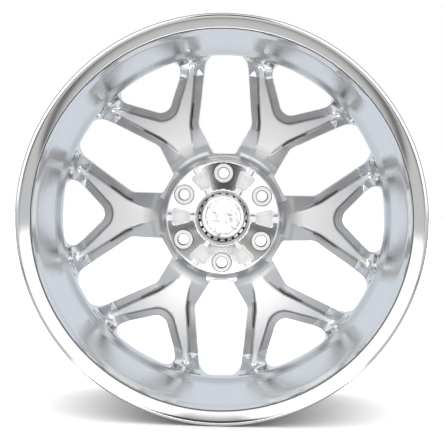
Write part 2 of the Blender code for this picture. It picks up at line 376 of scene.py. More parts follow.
@dataclass(frozen=True)
class SpunPolish(Finish):
    """Metal polished while it turned on the wheel's axis: faint rings round +Y."""

    ring_mm: float = 1.6
    ring_depth_mm: float = 0.003
    rings_from: float = -20.0
    rings_fade: float = 12.0

    def surface(self, shader: Shader) -> dict[str, Input]:
        """Adds faint rings to the plain finish.

        Args:
            shader: the material's tree.

        Returns:
            Values or wires by socket name.
        """
        place = shader.place()
        radius, y = self.polar(shader, place)
        along = shader.join(radius, y, 0.0)
        rings = shader.noise(along, 1.0 / (self.ring_mm * MM), 2.0)
        rings = rings * y.over(axial(self.rings_from), axial(self.rings_from + self.rings_fade))
        cloud = shader.noise(place, 14.0, 3.0)
        colour = shader.blend(cloud, self.shade(1.0 - self.speckle), self.shade(1.0))
        rough = self.roughness * (1.0 + (rings - 0.5) * 0.5 + (cloud - 0.5) * 0.5)
        normal = self.bump(shader, rings, self.ring_depth_mm)
        return {"Base Color": colour, "Roughness": rough, "Normal": normal}

    @staticmethod
    def polar(shader: Shader, place: Wire) -> tuple[Wire, Wire]:
        """Distance from the wheel's axis, and the place along it."""
        x, y, z = shader.split(place)
        return (x * x + z * z) ** 0.5, y


@dataclass(frozen=True)
class BarrelPolish(SpunPolish):
    """The rim's polish, with shade painted black into the crease inside each lip and on the
    outermost edge of both flanges.
    """

    crease: float = 278.2
    crease_width: float = 1.0
    crease_depths: Span = (15.0, 11.0)
    edge: float = 297.3
    edge_shade: float = 0.9

    def painted_shade(self, shader: Shader) -> Wire:
        """Painted shade: a black line in the crease, and painted shade that darkens and dulls the
        outermost edge of both flanges.

        Args:
            shader: the material's tree.

        Returns:
            1 where it is black.
        """
        radius, y = self.polar(shader, shader.place())
        # painted shade: a black line in the crease inside each lip
        crease = radius.hill(self.crease * MM, self.crease_width * MM)
        crease = crease * y.over(*map(axial, self.crease_depths))
        # painted shade on the outermost edge of both flanges
        edge_shaded = radius.over(self.edge * MM, (self.edge + 0.5) * MM)
        return crease + edge_shaded * self.edge_shade


@dataclass(frozen=True)
class CapPlating(SpunPolish):
    """The cap's plating, with shade painted black deep between the fingers."""

    slot_shade_from: Span = (151.0, 152.5)
    slot_shade_to: Span = (175.7, 175.4)
    slot_shade_inside: Span = (35.5, 35.8)
    slot_shade_outside: Span = (43.2, 42.8)

    def painted_shade(self, shader: Shader) -> Wire:
        """Painted shade behind the finger slots.

        Args:
            shader: the material's tree.

        Returns:
            1 where it is black.
        """
        radius, y = self.polar(shader, shader.place())
        # painted shade: black deep in the slots between the fingers
        deep = y.over(*map(axial, self.slot_shade_from)) * y.over(*map(axial, self.slot_shade_to))
        for low, high in (self.slot_shade_inside, self.slot_shade_outside):
            deep = deep * radius.over(low * MM, high * MM)
        return deep


@dataclass(frozen=True)
class ForgingFinish(Finish):
    """The centre: polished walls, grey satin bands, bright brushed rib tops and a turned pad."""

    band_colour: Colour = (0.54, 0.545, 0.555)
    band_roughness: float = 0.36
    band_dulling: float = 0.1
    rib_colour: Colour = (0.93, 0.93, 0.935)
    rib_roughness: float = 0.46
    rib_dulling: float = 0.45
    pad_roughness: float = 0.13
    pad_depth: float = 121.7
    pad_tilt: float = 0.19
    turning_mm: float = 0.9
    turning_depth_mm: float = 0.06
    brush_depth_mm: float = 0.010
    grain_height_mm: float = 0.006

    def surface(self, shader: Shader) -> dict[str, Input]:
        """Mixes the finishes by place and by the piece's own attributes.

        Args:
            shader: the material's tree.

        Returns:
            Values or wires by socket name.
        """
        place = shader.place()
        x, y, z = shader.split(place)
        radius = (x * x + z * z) ** 0.5
        rib, band = shader.marked("rib_top"), shader.marked("satin")
        on_pad = y.over(axial(self.pad_depth + 0.8), axial(self.pad_depth + 0.4))
        cloud = shader.noise(place, 18.0, 3.0)
        grain = shader.noise(place, 1.0 / (self.grain_mm * MM), 3.0)
        brushed = shader.noise(shader.join(x * 0.25 + z * 0.2, y, z - x * 0.6), 900.0, 2.0)
        turning = shader.noise(shader.join(radius, 0.0, 0.0), 1.0 / (self.turning_mm * MM), 1.0)
        rough = self.roughness * (1.0 + (cloud - 0.5) * 0.6)
        rough = rough + (self.band_roughness + (brushed - 0.5) * 0.12 - rough) * band
        rough = rough + (self.rib_roughness + (brushed - 0.5) * 0.16 - rough) * rib
        rough = rough + (self.pad_roughness - rough) * on_pad
        colour = shader.blend(cloud, self.shade(1.0 - self.speckle), self.shade(1.0))
        streak = 0.92 + brushed * 0.16
        colour = shader.blend(band, colour, shader.scaled(self.band_colour, streak))
        colour = shader.blend(rib, colour, shader.scaled(self.rib_colour, streak))
        height = (band + rib) * (brushed * self.brush_depth_mm + grain * self.grain_height_mm)
        height = height + on_pad * turning * self.turning_depth_mm
        height = height - on_pad * radius * (self.pad_tilt / MM)
        normal = self.bump(shader, height, 1.0)
        metallic = 1.0 - rib * self.rib_dulling - band * self.band_dulling
        return {"Base Color": colour, "Roughness": rough, "Metallic": metallic, "Normal": normal}


BARREL = BarrelPolish(
    "polished_barrel", "polished_aluminium", (0.90, 0.92, 0.95), 0.11,
    ring_mm=1.3, ring_depth_mm=0.2, rings_from=22.0,
)
FORGING = ForgingFinish("polished_forging", "forged_aluminium", (0.92, 0.93, 0.945), 0.08)
SEAT_STEEL = SpunPolish("plated_steel", "zinc_steel", (0.95, 0.95, 0.94), 0.42, 0.72)
CAP_CHROME = CapPlating("cap_plating", "cap_chrome", (0.92, 0.925, 0.935), 0.06)
EMBLEM = SpunPolish("polished_disc", "polished_aluminium", (0.90, 0.91, 0.93), 0.10)
VALVE_CHROME = Finish("valve_plating", "valve_chrome", (0.88, 0.885, 0.90), 0.08)
SPRING = Finish("spring_wire", "spring_steel", (0.55, 0.55, 0.56), 0.28)
BRASS = Finish("turned_brass", "core_brass", (0.85, 0.66, 0.33), 0.25)
RUBBER = Finish("black_rubber", "black_rubber", (0.03, 0.03, 0.032), 0.65, 0.0, 0.3, 0.4, 0.03)


# ---------------------------------------------------------------- outlines


def rounded(corners: Sequence[Corner], step_deg: float = 12.0, closed: bool = True) -> list[Point]:
    """An outline whose corners are rounded by arcs.

    Args:
        corners: (across, up, radius) of each corner, in order.
        step_deg: the turn between two points of an arc.
        closed: whether the last corner joins the first.

    Returns:
        The outline's points.
    """
    outline: list[Point] = []
    count = len(corners)
    for i, (across, up, radius) in enumerate(corners):
        here = Vector((across, up))
        at_end = not closed and i in (0, count - 1)
        if radius <= 0 or at_end:
            outline.append((across, up))
            continue
        before = (Vector(corners[i - 1][:2]) - here).normalized()
        after = (Vector(corners[(i + 1) % count][:2]) - here).normalized()
        half = before.angle(after) / 2
        centre = here + (before + after).normalized() * (radius / math.sin(half))
        first = here + before * (radius / math.tan(half)) - centre
        last = here + after * (radius / math.tan(half)) - centre
        turn = first.angle_signed(last)
        steps = max(1, math.ceil(abs(math.degrees(turn)) / step_deg))
        for k in range(steps + 1):
            point = centre + Matrix.Rotation(-turn * k / steps, 2) @ first
            outline.append((point.x, point.y))
    return outline


def resampled(outline: Sequence[Point], spacing: float, closed: bool = False) -> list[Point]:
    """Splits an outline's long sides so that no side is longer than a spacing.

    Args:
        outline: the points.
        spacing: the longest side allowed.
        closed: whether the last point joins the first.

    Returns:
        The outline with the extra points.
    """
    result: list[Point] = []
    ends = list(outline) + ([outline[0]] if closed else [])
    for (x0, y0), (x1, y1) in zip(ends, ends[1:]):
        parts = max(1, math.ceil(math.hypot(x1 - x0, y1 - y0) / spacing))
        result += [(x0 + (x1 - x0) * k / parts, y0 + (y1 - y0) * k / parts) for k in range(parts)]
    return result if closed else result + [tuple(outline[-1])]


# ---------------------------------------------------------------- modelling


def mark(piece: bpy.types.Object, name: str, values: np.ndarray) -> None:
    """Gives each point of a piece a value that its finish reads by name."""
    layer = piece.data.attributes.new(name, "FLOAT", "POINT")
    layer.data.foreach_set("value", values.astype(np.float32))


def search_tree(points: np.ndarray) -> KDTree:
    """A search tree of plan points."""
    tree = KDTree(len(points))
    for i, point in enumerate(points):
        tree.insert((*point, 0.0), i)
    tree.balance()
    return tree


def deselect() -> None:
    """Leaves nothing selected, so that an operator acts on the new piece only."""
    if bpy.context.object and bpy.context.object.mode != "OBJECT":
        bpy.ops.object.mode_set(mode="OBJECT")
    bpy.ops.object.select_all(action="DESELECT")


def take(piece: bpy.types.Object) -> None:
    """Makes one piece the selected and active one."""
    deselect()
    piece.select_set(True)
    bpy.context.view_layer.objects.active = piece


def new_piece(
    name: str, points: Sequence[Sequence[float]], edges: list, faces: list
) -> bpy.types.Object:
    """Adds a mesh object at the origin.

    Args:
        name: the piece's name.
        points: vertices in metres.
        edges: pairs of vertex numbers, for an outline.
        faces: tuples of vertex numbers, for a solid.

    Returns:
        The new object, selected and active.
    """
    mesh = bpy.data.meshes.new(name)
    mesh.from_pydata(points, edges, faces)
    piece = bpy.data.objects.new(name, mesh)
    bpy.context.scene.collection.objects.link(piece)
    take(piece)
    return piece


def volume(piece: bpy.types.Object) -> float:
    """The volume of a closed piece, negative where it is inside out."""
    scratch = bmesh.new()
    scratch.from_mesh(piece.data)
    found = scratch.calc_volume(signed=True)
    scratch.free()
    return found


def clean(piece: bpy.types.Object, sharp_deg: float = 32.0) -> bpy.types.Object:
    """Merges doubles, points the faces outwards and shades the piece smooth.

    Args:
        piece: the piece.
        sharp_deg: edges that turn more than this stay sharp.

    Returns:
        The same piece.
    """
    take(piece)
    bpy.ops.object.mode_set(mode="EDIT")
    bpy.ops.mesh.select_all(action="SELECT")
    bpy.ops.mesh.remove_doubles(threshold=NEAR / 4)
    bpy.ops.mesh.normals_make_consistent(inside=False)
    bpy.ops.object.mode_set(mode="OBJECT")
    if volume(piece) < 0:
        bpy.ops.object.mode_set(mode="EDIT")
        bpy.ops.mesh.flip_normals()
        bpy.ops.object.mode_set(mode="OBJECT")
    bpy.ops.object.shade_smooth_by_angle(angle=math.radians(sharp_deg))
    return piece


def turned(
    name: str, outline: Sequence[Point], steps: int, place: Matrix | None = None
) -> bpy.types.Object:
    """Spins a closed outline round the Y axis.

    Args:
        name: the piece's name.
        outline: (radius, distance along the axis) in millimetres. Depths go through axial first.
        steps: how many parts the turn has.
        place: where the axis goes, or None to leave it on the wheel's own axis, from depth 0.

    Returns:
        The piece.
    """
    start = 0.0 if place else CAD_BOX[0][1]
    points = [(r * MM, start + a * MM, 0.0) for r, a in outline]
    edges = [
        (i, (i + 1) % len(points))
        for i in range(len(points))
        if outline[i][0] > 0 or outline[(i + 1) % len(points)][0] > 0
    ]
    piece = new_piece(name, points, edges, [])
    bpy.ops.object.mode_set(mode="EDIT")
    bpy.ops.mesh.select_all(action="SELECT")
    bpy.ops.mesh.spin(steps=steps, angle=math.tau, center=(0, 0, 0), axis=(0, 1, 0))
    bpy.ops.object.mode_set(mode="OBJECT")
    clean(piece)
    if place:
        piece.data.transform(place)
    return piece


def carve(piece: bpy.types.Object, tool: bpy.types.Object) -> None:
    """Cuts a tool out of a piece and throws the tool away."""
    take(piece)
    modifier = piece.modifiers.new("carve", "BOOLEAN")
    modifier.object = tool
    modifier.operation = "DIFFERENCE"
    modifier.solver = "EXACT"
    bpy.ops.object.modifier_apply(modifier=modifier.name)
    bpy.data.objects.remove(tool)


def mount(piece: bpy.types.Object, body: Body, finish: Finish, *nodes: str) -> None:
    """Dresses a finished piece, fixes it to its body and hides the CAD nodes that it stands for.

    Args:
        piece: the finished piece.
        body: the body that it rides on.
        finish: its finish.
        nodes: the CAD nodes that it replaces.
    """
    finish.dress(piece)
    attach(piece, body.value)
    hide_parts(*nodes)
    LOG.info("%s: %d faces", piece.name, len(piece.data.polygons))


# ---------------------------------------------------------------- barrel


@dataclass
class Barrel:
    """The rolled rim: two flange lips, bead seats, a drop well and the centre's seat."""

    steps: int = 264
    bead_seat: float = 281.8
    flange_width: float = 12.7
    well_inner: float = 256.0
    well_outer: float = 261.8
    seat_radius: float = 268.3

    def lip(self, edge: float, inwards: int) -> list[Corner]:
        """One flange lip, from the crease inside it round the nose to the bead seat.

        Args:
            edge: the depth of the flange's edge.
            inwards: 1 or -1, towards the rim's middle.

        Returns:
            Corners as (radius, depth, rounding).
        """
        shape = [
            (273.4, 31.0, 30.0),
            (277.2, 19.5, 6.0),
            (278.1, 9.2, 0.4),
            (279.6, 8.0, 0.5),
            (285.4, 4.6, 30.0),
            (291.2, 1.3, 5.0),
            (294.4, 0.0, 3.0),
            (298.5, 1.2, 2.6),
            (FLANGE_RADIUS, 5.0, 3.0),
            (298.2, 9.6, 3.0),
            (292.8, self.flange_width, 4.0),
            (285.4, self.flange_width + 0.4, 3.6),
            (self.bead_seat, self.flange_width + 5.0, 3.0),
        ]
        return [(radius, edge + inwards * depth, turn) for radius, depth, turn in shape]

    def outline(self) -> list[Point]:
        """The rim's section."""
        tyre_side = [
            (280.5, 34.5, 4.0),
            (281.6, 38.0, 2.0),
            (279.0, 44.0, 6.0),
            (269.8, 127.0, 8.0),
            (self.well_outer, 138.0, 7.0),
            (self.well_outer, 162.0, 8.0),
            (272.4, 180.0, 8.0),
            (272.4, 216.6, 5.0),
            (281.2, 231.8, 5.0),
            (281.5, 242.6, 2.5),
            (280.4, 247.5, 3.0),
        ]
        hub_side = [
            (277.0, 234.7, 6.0),
            (266.6, 216.5, 1.5),
            (266.1, 210.4, 0.4),
            (self.seat_radius, 210.4, 0.3),
            (self.seat_radius, 176.0, 2.0),
            (self.well_inner, 158.0, 1.0),
            (self.well_inner, 151.0, 2.5),
            (257.4, 146.0, 1.5),
            (262.4, 133.6, 1.5),
            (262.6, 130.8, 0.6),
            (263.7, 127.6, 0.6),
            (264.2, 122.0, 4.0),
        ]
        corners = (
            self.lip(0.0, 1) + tyre_side + list(reversed(self.lip(WIDTH, -1)[1:])) + hub_side
        )
        return resampled(rounded(corners, 10.0), 16.0, closed=True)

    def build(self) -> None:
        """Spins the rim and drills its valve hole."""
        rim = turned("barrel", self.outline(), self.steps)
        drill = turned("drill", [(0, -20), (5.75, -20), (5.75, 14), (0, 14)], 48, Valve.place())
        carve(rim, drill)
        clean(rim, 28.0)
        mount(rim, Body.WHEEL, BARREL, "rim_barrel")


# ---------------------------------------------------------------- forged centre


def eased(ratio: np.ndarray, foot: float, top: float) -> np.ndarray:
    """A ramp from 0 to 1 over a ratio of 0 to 1, with a rounded foot and a rounded top.

    Args:
        ratio: the place on the ramp.
        foot: half the length of the foot's rounding.
        top: half the length of the top's rounding.

    Returns:
        The ramp's height.
    """
    height = np.clip(ratio, 0.0, 1.0)
    at_foot = np.abs(ratio) < foot
    height = np.where(at_foot, (ratio + foot) ** 2 / (4 * foot), height)
    at_top = np.abs(ratio - 1.0) < top
    return np.where(at_top, 1.0 - (1.0 + top - ratio) ** 2 / (4 * top), height)


def signed_distance(points: np.ndarray, outline: Sequence[Point]) -> np.ndarray:
    """Distance from points to a closed convex outline, negative inside it.

    Args:
        points: an array of (across, up).
        outline: the outline, listed anticlockwise.

    Returns:
        One distance for each point.
    """
    start = np.array(outline)
    along = np.roll(start, -1, axis=0) - start
    start, along = (a[np.hypot(along[:, 0], along[:, 1]) > 1e-6] for a in (start, along))
    offset = points[:, None, :] - start[None]
    share = np.clip((offset * along).sum(-1) / (along**2).sum(-1), 0.0, 1.0)
    gap = offset - share[..., None] * along
    distance = np.hypot(gap[..., 0], gap[..., 1]).min(1)
    turns = along[None, :, 0] * offset[..., 1] - along[None, :, 1] * offset[..., 0]
    return np.where((turns >= 0).all(1), -distance, distance)


@dataclass(frozen=True)
class Ramp:
    """A step in the surface that follows an outline."""

    width: float
    foot: float = 0.3
    top: float = 0.2

    def share(self, distance: np.ndarray) -> np.ndarray:
        """0 inside the outline, 1 outside it by the ramp's width."""
        return eased(distance / self.width, self.foot, self.top)

    def loops(self) -> list[float]:
        """Distances from the outline at which the mesh needs a loop."""
        foot, top = self.foot * self.width, self.top * self.width
        return [-foot, 0.0, foot, self.width - top, self.width, self.width + top]


@dataclass
class Centre:
    """The forged centre: hub, six forked spokes with ribs on their backs, and the outer ring.

    One twelfth of it, from a spoke's axis to a long window's axis, is meshed in plan and given its
    back and front surfaces, then mirrored and repeated. In plan, a point is (across, up) with the
    spoke's axis pointing up.
    """

    pad_depth: float = depth_of("wheel_centre")
    bore: float = 39.05
    pad_radius: float = 86.8
    lug_circle: float = 69.85
    lug_hole: float = 12.8
    seat_bore: float = 15.6
    nut_well: float = 18.5
    ring_radius: float = 268.0
    window_radius: float = 264.2
    front_hub: float = 172.5
    spacing: float = 2.5
    rib_wall: Ramp = Ramp(3.2, 0.34, 0.26)
    pocket_wall: Ramp = Ramp(3.0, 0.25, 0.2)
    notch_wall: Ramp = Ramp(1.4, 0.3, 0.3)
    edge_round: float = 1.3
    front_chamfer: float = 5.0

    TWELFTH = math.pi / 6
    SPOKE_SIDE = np.array([1.0, 0.0])
    WINDOW_SIDE = np.array([math.cos(math.pi / 6), -math.sin(math.pi / 6)])

    def arc(self, across: float) -> float:
        """Height of the windows' outer edge."""
        return math.sqrt(self.window_radius**2 - across**2)

    @staticmethod
    def mirrored(right_side: Sequence[Corner]) -> list[Corner]:
        """A closed set of corners from those on the right, listed from the bottom upwards."""
        return list(right_side) + [(-x, y, r) for x, y, r in reversed(right_side) if x > 0]

    def window_arcs(self, last: float) -> list[Corner]:
        """Corners along a window's outer edge, from one place across to the middle."""
        places = np.linspace(last, 0.0, 5)
        return [(float(x), self.arc(float(x)), 0.0) for x in places]

    def long_window(self) -> list[Point]:
        """The long window between two spokes, with its own axis up."""
        corners = [(17.0, 101.5, 5.0), (42.8, 146.0, 22.0), (34.6, 250.0, 32.0)]
        corners += [(21.5, self.arc(21.5) + 0.2, 14.0)] + self.window_arcs(14.0)
        return rounded(self.mirrored(corners), 8.0)

    def fork_window(self) -> list[Point]:
        """The three-cornered window in a spoke's fork."""
        corners = [(0.0, 186.0, 18.0), (68.8, 254.8, 15.0)] + self.window_arcs(40.0)
        return rounded(self.mirrored(corners), 8.0)

    def long_band(self) -> list[Point]:
        """The foot of the ribs beside a long window."""
        corners = [(44.5, 92.0, 0.0), (50.9, 122.0, 40.0), (54.6, 148.0, 60.0)]
        corners.append((50.6, 205.0, 300.0))
        corners += [(49.0, 275.0, 0.0)]
        return rounded(self.mirrored(corners), 4.0)

    def fork_band(self) -> list[Point]:
        """The foot of the ribs beside a fork window."""
        corners = [(0.0, 169.4, 26.0), (70.0, 239.4, 26.0), (84.0, 262.0, 0.0), (40.0, 280.0, 0.0)]
        return rounded(self.mirrored(corners), 6.0)

    @staticmethod
    def pocket() -> list[Point]:
        """The relief pocket between two nut seats, at its floor."""
        corners = [(4.9, 54.0, 1.2), (10.6, 75.6, 1.2), (-10.6, 75.6, 1.2), (-4.9, 54.0, 1.2)]
        return rounded(corners, 20.0)

    def curve(self, corners: Sequence[Corner]) -> Callable[[np.ndarray], np.ndarray]:
        """A turned surface: depth as a function of radius.

        Args:
            corners: (radius, depth, rounding) by growing radius.

        Returns:
            The function.
        """
        radii, depths = np.array(rounded(corners, 5.0, closed=False)).T
        return lambda radius: np.interp(radius, radii, depths)

    def back_curves(self) -> tuple[Callable, Callable, Callable]:
        """The back at rib level, at the level of the bands, and at the notches."""
        pad = self.pad_depth
        hub = [(20.0, pad + 8.0, 0.0), (self.bore, pad + 3.7, 0.0), (42.6, pad, 0.8)]
        hub += [(self.pad_radius, pad, 0.9), (88.4, pad + 2.6, 3.0)]
        root = [(93.2, 141.0, 16.0), (103.0, 154.6, 26.0), (116.0, 159.8, 20.0)]
        rim = [(252.6, 176.0, 12.0), (254.9, 158.0, 0.2), (255.7, 158.3, 0.1), (269.0, 177.9, 0.0)]
        rib = hub + root + [(236.0, 188.0, 40.0), (247.5, 183.0, 10.0)] + rim
        band = hub + root + [(150.0, 180.0, 50.0), (232.0, 201.5, 1.0)] + rim
        notch = hub + [(92.4, 146.0, 4.0), (96.5, 152.4, 3.0), (125.0, 160.5, 0.0)]
        return self.curve(rib), self.curve(band), self.curve(notch)

    def front_curve(self) -> Callable[[np.ndarray], np.ndarray]:
        """The street side."""
        corners = [(20.0, self.front_hub, 0.0), (84.0, self.front_hub, 30.0)]
        corners += [(104.0, 180.4, 60.0), (160.0, 198.0, 200.0), (236.0, 212.6, 40.0)]
        corners += [(248.0, 213.0, 12.0), (258.0, 210.2, 12.0), (269.0, 210.0, 0.0)]
        return self.curve(corners)

    @staticmethod
    def turned_plan(points: np.ndarray, angle: float) -> np.ndarray:
        """Plan points turned clockwise by an angle."""
        c, s = math.cos(angle), math.sin(angle)
        return points @ np.array([[c, -s], [s, c]])

    def measures(self, points: np.ndarray) -> dict[str, np.ndarray]:
        """Distances from plan points to every feature.

        Args:
            points: plan points in the first twelfth.

        Returns:
            Signed distances in millimetres by feature.
        """
        beside = self.turned_plan(points, -self.TWELFTH)
        lug = Vector((math.sin(self.TWELFTH), math.cos(self.TWELFTH))) * self.lug_circle
        return {
            "radius": np.hypot(points[:, 0], points[:, 1]),
            "long": signed_distance(beside, self.long_window()),
            "fork": signed_distance(points, self.fork_window()),
            "band": np.minimum(
                signed_distance(beside, self.long_band()), signed_distance(points, self.fork_band())
            ),
            "pocket": signed_distance(points, self.pocket()),
            "groove": np.abs(points[:, 0]) - 2.9,
            "notch": np.abs(beside[:, 0]) - 24.6,
            "lug": np.hypot(points[:, 0] - lug.x, points[:, 1] - lug.y),
        }

    def edge_drop(self, distance: np.ndarray) -> np.ndarray:
        """How far an edge's rounding takes the surface back, by the distance from the edge."""
        inward = np.clip(self.edge_round - distance, 0.0, self.edge_round)
        return self.edge_round - np.sqrt(np.maximum(self.edge_round**2 - inward**2, 0.0))

    def back(self, at: dict[str, np.ndarray]) -> tuple[np.ndarray, ...]:
        """Depth of the back, and how much of it is bright rib top, grey satin or painted shade.

        Args:
            at: the distances from measures.

        Returns:
            Depths, then the shares of rib top, of satin and of painted shade.
        """
        rib, band, notch = self.back_curves()
        radius = at["radius"]
        share = self.rib_wall.share(at["band"])
        depth = band(radius) + (rib(radius) - band(radius)) * share
        in_notch = 1.0 - self.notch_wall.share(at["notch"])
        depth = np.maximum(depth, depth + (notch(radius) - depth) * in_notch)
        on_pad = radius < self.pad_radius + 8.0
        pocket = 11.5 * (1.0 - self.pocket_wall.share(at["pocket"]))
        groove = 2.4 * (1.0 - eased(at["groove"] / 0.7, 0.2, 0.2)) * (radius < 96.0)
        pad = self.pad_depth + np.maximum(pocket, groove)
        depth = np.where(on_pad, np.maximum(depth, pad), depth)
        depth = np.where(at["lug"] < self.seat_bore + 0.05, self.pad_depth + 3.6, depth)
        edge = np.minimum(at["long"], at["fork"])
        depth = depth + self.edge_drop(edge) * (radius < 262.0)
        top = share**3 * np.clip((radius - 104.0) / 26.0, 0.0, 1.0)
        top = top * np.clip((247.0 - radius) / 5.0, 0.0, 1.0)
        in_pad = (radius < 95.0) & (depth > self.pad_depth + 0.8) & (at["lug"] > 20.0)
        top = np.where(in_pad & (np.maximum(pocket, groove) > 0.5), 1.0, top)
        satin = np.clip((radius - 93.0) / 3.0, 0.0, 1.0)
        satin *= np.clip((233.0 - radius) / 1.5, 0.0, 1.0)
        # painted shade: black at the gap round each nut seat, dark grey on the bore's chamfer
        painted_shade_mark = np.maximum(at["lug"] < self.seat_bore + 0.1, 0.45 * (radius < 42.7))
        return depth, top, satin * np.clip(edge / self.edge_round, 0.0, 1.0), painted_shade_mark

    def front(self, at: dict[str, np.ndarray]) -> np.ndarray:
        """Depth of the street side.

        Args:
            at: the distances from measures.

        Returns:
            Depths.
        """
        depth = self.front_curve()(at["radius"])
        edge = np.minimum(at["long"], at["fork"])
        chamfer = np.clip(self.front_chamfer - edge, 0.0, self.front_chamfer) * 0.5
        inner = at["radius"] < 262.0
        depth = depth - (chamfer + self.edge_drop(edge)) * inner
        well = 1.0 - eased((at["lug"] - self.nut_well + 1.6) / 1.6, 0.15, 0.15)
        return depth + (146.0 - depth) * well

    def plan(self) -> tuple[np.ndarray, np.ndarray]:
        """Meshes one twelfth in plan, with loops along every feature.

        Returns:
            Plan points and triangles.
        """
        spoke, window = 0.0, self.TWELFTH
        loops: list[np.ndarray] = []

        def add(
            outline: Sequence[Point], distances: Sequence[float], angle: float, length: float
        ) -> None:
            """Adds rows at several distances outside a closed outline, turned to an angle."""
            fine = np.array(resampled(outline, length, closed=True))
            before, after = np.roll(fine, 1, axis=0), np.roll(fine, -1, axis=0)
            run = after - before
            run /= np.hypot(run[:, 0], run[:, 1])[:, None]
            outward = np.stack([run[:, 1], -run[:, 0]], axis=1)
            for distance in distances:
                loops.append(self.turned_plan(fine + outward * distance, angle))

        def circle(radius: float, count: int, centre: Point = (0.0, 0.0)) -> None:
            """Adds a ring of evenly spaced points."""
            turn = np.linspace(0.0, math.tau, count, endpoint=False)
            ring = np.stack([np.sin(turn), np.cos(turn)], axis=1) * radius
            loops.append(ring + np.array(centre))

        edges = [0.0, 0.25, 0.7, self.edge_round, 2.4, self.front_chamfer]
        add(self.long_window(), edges, window, 2.2)
        add(self.fork_window(), edges, spoke, 2.2)
        add(self.long_band(), self.rib_wall.loops(), window, 2.2)
        add(self.fork_band(), self.rib_wall.loops(), spoke, 2.2)
        add(self.pocket(), self.pocket_wall.loops(), spoke, 1.6)
        rings = [self.bore, 42.0, 42.9, 86.0, 86.6, 87.2, 88.0, 89.2, 90.6, 92.0, 93.6, 95.2, 97.0]
        rings += [99.0, 101.2, 103.6, 106.5, 230.6, 231.6, 232.2, 233.4, 242.0, 245.0, 247.5, 249.5]
        rings += [251.0, 252.2, 253.2, 254.0, 254.9, 255.7, 259.0, self.ring_radius]
        for radius in rings:
            circle(radius, 12 * max(8, round(math.tau * radius / 12 / 2.4)))
        lug = (math.sin(window) * self.lug_circle, math.cos(window) * self.lug_circle)
        for radius in (self.lug_hole, 14.2, 15.6, 15.8, 16.9, 17.6, 18.5, 18.9, 20.0):
            circle(radius, 48, lug)
        for across in (2.75, 2.9, 3.2, 3.6, 3.75):
            ends = ((across, self.bore - 1.0), (across, 97.0))
            loops.append(np.array(resampled(ends, 2.0)))
        for across in (24.2, 24.6, 25.2, 25.6, 26.0, 26.4):
            run = np.array(resampled(((-across, 86.0), (-across, 112.0)), 2.0))
            loops.append(self.turned_plan(run, window))
        return self.triangulate(loops)

    def triangulate(self, loops: list[np.ndarray]) -> tuple[np.ndarray, np.ndarray]:
        """Fills one twelfth between the loops with a lattice and triangulates it.

        Args:
            loops: rows of plan points.

        Returns:
            Plan points and triangles, without those in holes.
        """
        limit = self.ring_radius

        def inside(points: np.ndarray, margin: float) -> np.ndarray:
            """Which points lie in the twelfth, at least a margin from its straight sides."""
            radius = np.hypot(points[:, 0], points[:, 1])
            keep = (points[:, 0] > margin) & (points @ self.WINDOW_SIDE < -margin)
            return keep & (radius > self.bore - 0.01) & (radius < limit + 0.01)

        found = [self.crossings(loop) for loop in loops]
        row = [p[inside(p, 0.05)] for p in loops]
        sides = np.concatenate([c for c in found if len(c)])
        fixed = np.concatenate(row)
        at = self.measures(np.concatenate([fixed, sides]))
        keep = self.solid(at, 0.02)
        points = np.concatenate([fixed, sides])[keep]
        points = self.thinned(points, 0.16)
        pitch = self.spacing
        across, up = np.meshgrid(np.arange(0, limit, pitch), np.arange(0, limit, pitch * 0.866))
        across = across + (np.arange(len(up)) % 2)[:, None] * pitch / 2
        lattice = np.stack([across.ravel(), up.ravel()], axis=1)
        lattice = lattice[inside(lattice, pitch * 0.55)]
        side_radii = np.arange(self.bore + pitch, limit, pitch)
        on_spoke = np.stack([np.zeros_like(side_radii), side_radii], axis=1)
        on_window = self.turned_plan(on_spoke, self.TWELFTH)
        lattice = np.concatenate([lattice, on_spoke, on_window])
        lattice = lattice[self.solid(self.measures(lattice), -0.4)]
        lattice = self.spaced(lattice, points, pitch * 0.55)
        points = np.concatenate([points, lattice])
        for side in (self.SPOKE_SIDE, self.WINDOW_SIDE):
            away = points @ side
            points = points - np.where(np.abs(away) < 0.05, away, 0.0)[:, None] * side
        result = delaunay_2d_cdt([Vector(p) for p in points], [], [], 0, 1e-5)
        made, triangles = np.array([tuple(v) for v in result[0]]), np.array(result[2])
        middles = made[triangles].mean(1)
        at = self.measures(middles)
        within = (middles[:, 0] > 0.004) & (middles @ self.WINDOW_SIDE < -0.004)
        keep = within & self.solid(at, 0.0) & (at["radius"] < limit)
        return made, triangles[keep]

    def solid(self, at: dict[str, np.ndarray], margin: float) -> np.ndarray:
        """Whether points lie on metal, in plan, give or take a margin in millimetres."""
        windows = (at["long"] > -margin) & (at["fork"] > -margin)
        holes = (at["lug"] > self.lug_hole - margin) & (at["radius"] > self.bore - margin)
        return windows & holes

    def crossings(self, loop: np.ndarray) -> np.ndarray:
        """Where a loop crosses the two straight sides of the twelfth."""
        found = []
        closed = np.hypot(*(loop[0] - loop[-1])) < 6.0
        following = np.roll(loop, -1, axis=0)
        for side in (self.SPOKE_SIDE, self.WINDOW_SIDE):
            here, there = loop @ side, following @ side
            for i in np.nonzero((here * there <= 0) & (here != there))[0]:
                if i == len(loop) - 1 and not closed:
                    continue
                share = here[i] / (here[i] - there[i])
                point = loop[i] + (following[i] - loop[i]) * share
                if point[1] > 0 and np.hypot(*point) < self.ring_radius + 0.01:
                    found.append(point - side * (point @ side))
        return np.array(found).reshape(-1, 2)

    @staticmethod
    def thinned(points: np.ndarray, gap: float) -> np.ndarray:
        """Points with those closer than a gap to an earlier one left out."""
        tree = search_tree(points)
        dropped: set[int] = set()
        for i, point in enumerate(points):
            if i not in dropped:
                near = tree.find_range((*point, 0.0), gap)
                dropped.update(j for _, j, _ in near if j > i)
        return points[[i for i in range(len(points)) if i not in dropped]]

    @staticmethod
    def spaced(points: np.ndarray, others: np.ndarray, gap: float) -> np.ndarray:
        """Points that keep a gap from others."""
        tree = search_tree(others)
        keep = [tree.find((*point, 0.0))[2] > gap for point in points]
        return points[keep]

